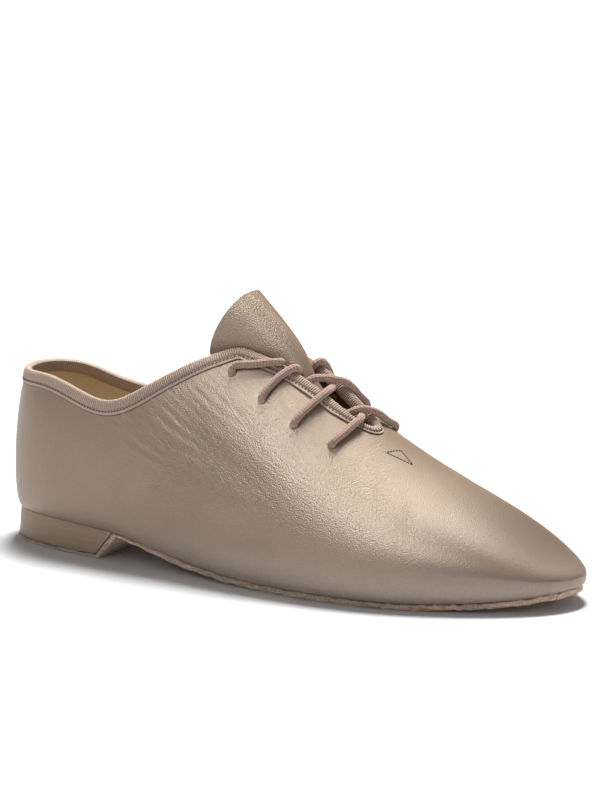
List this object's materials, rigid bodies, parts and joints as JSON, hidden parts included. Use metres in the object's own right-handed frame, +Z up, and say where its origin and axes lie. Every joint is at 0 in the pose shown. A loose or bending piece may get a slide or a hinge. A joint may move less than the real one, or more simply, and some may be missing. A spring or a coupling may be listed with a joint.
{
  "type": "lace-up jazz shoe",
  "caption": "Soft leather lace-up jazz shoe in taupe, with a bound collar, a long tongue and a thin suede sole on a low heel.",
  "frame": {"origin": "on the floor under the middle of the heel", "axes": "+X towards the toe, +Y towards the inner (medial) side, +Z up"},
  "size_m": [0.25, 0.0833, 0.1082],
  "materials": {
    "leather": "soft semi-matt",
    "binding": "ribbed, matt",
    "suede": "napped, matt",
    "heel": "painted, matt",
    "insole": "matt",
    "lace": "braided, matt"
  },
  "bodies": {
    "root": {"upper": "leather", "tongue": "leather", "collar_binding": "binding", "outsole": "suede", "heel_block": "heel", "insole": "insole", "lace_cross_1": "lace", "lace_cross_2": "lace", "lace_cross_3": "lace", "lace_end_lateral": "lace", "lace_end_medial": "lace"}
  },
  "joints": []
}
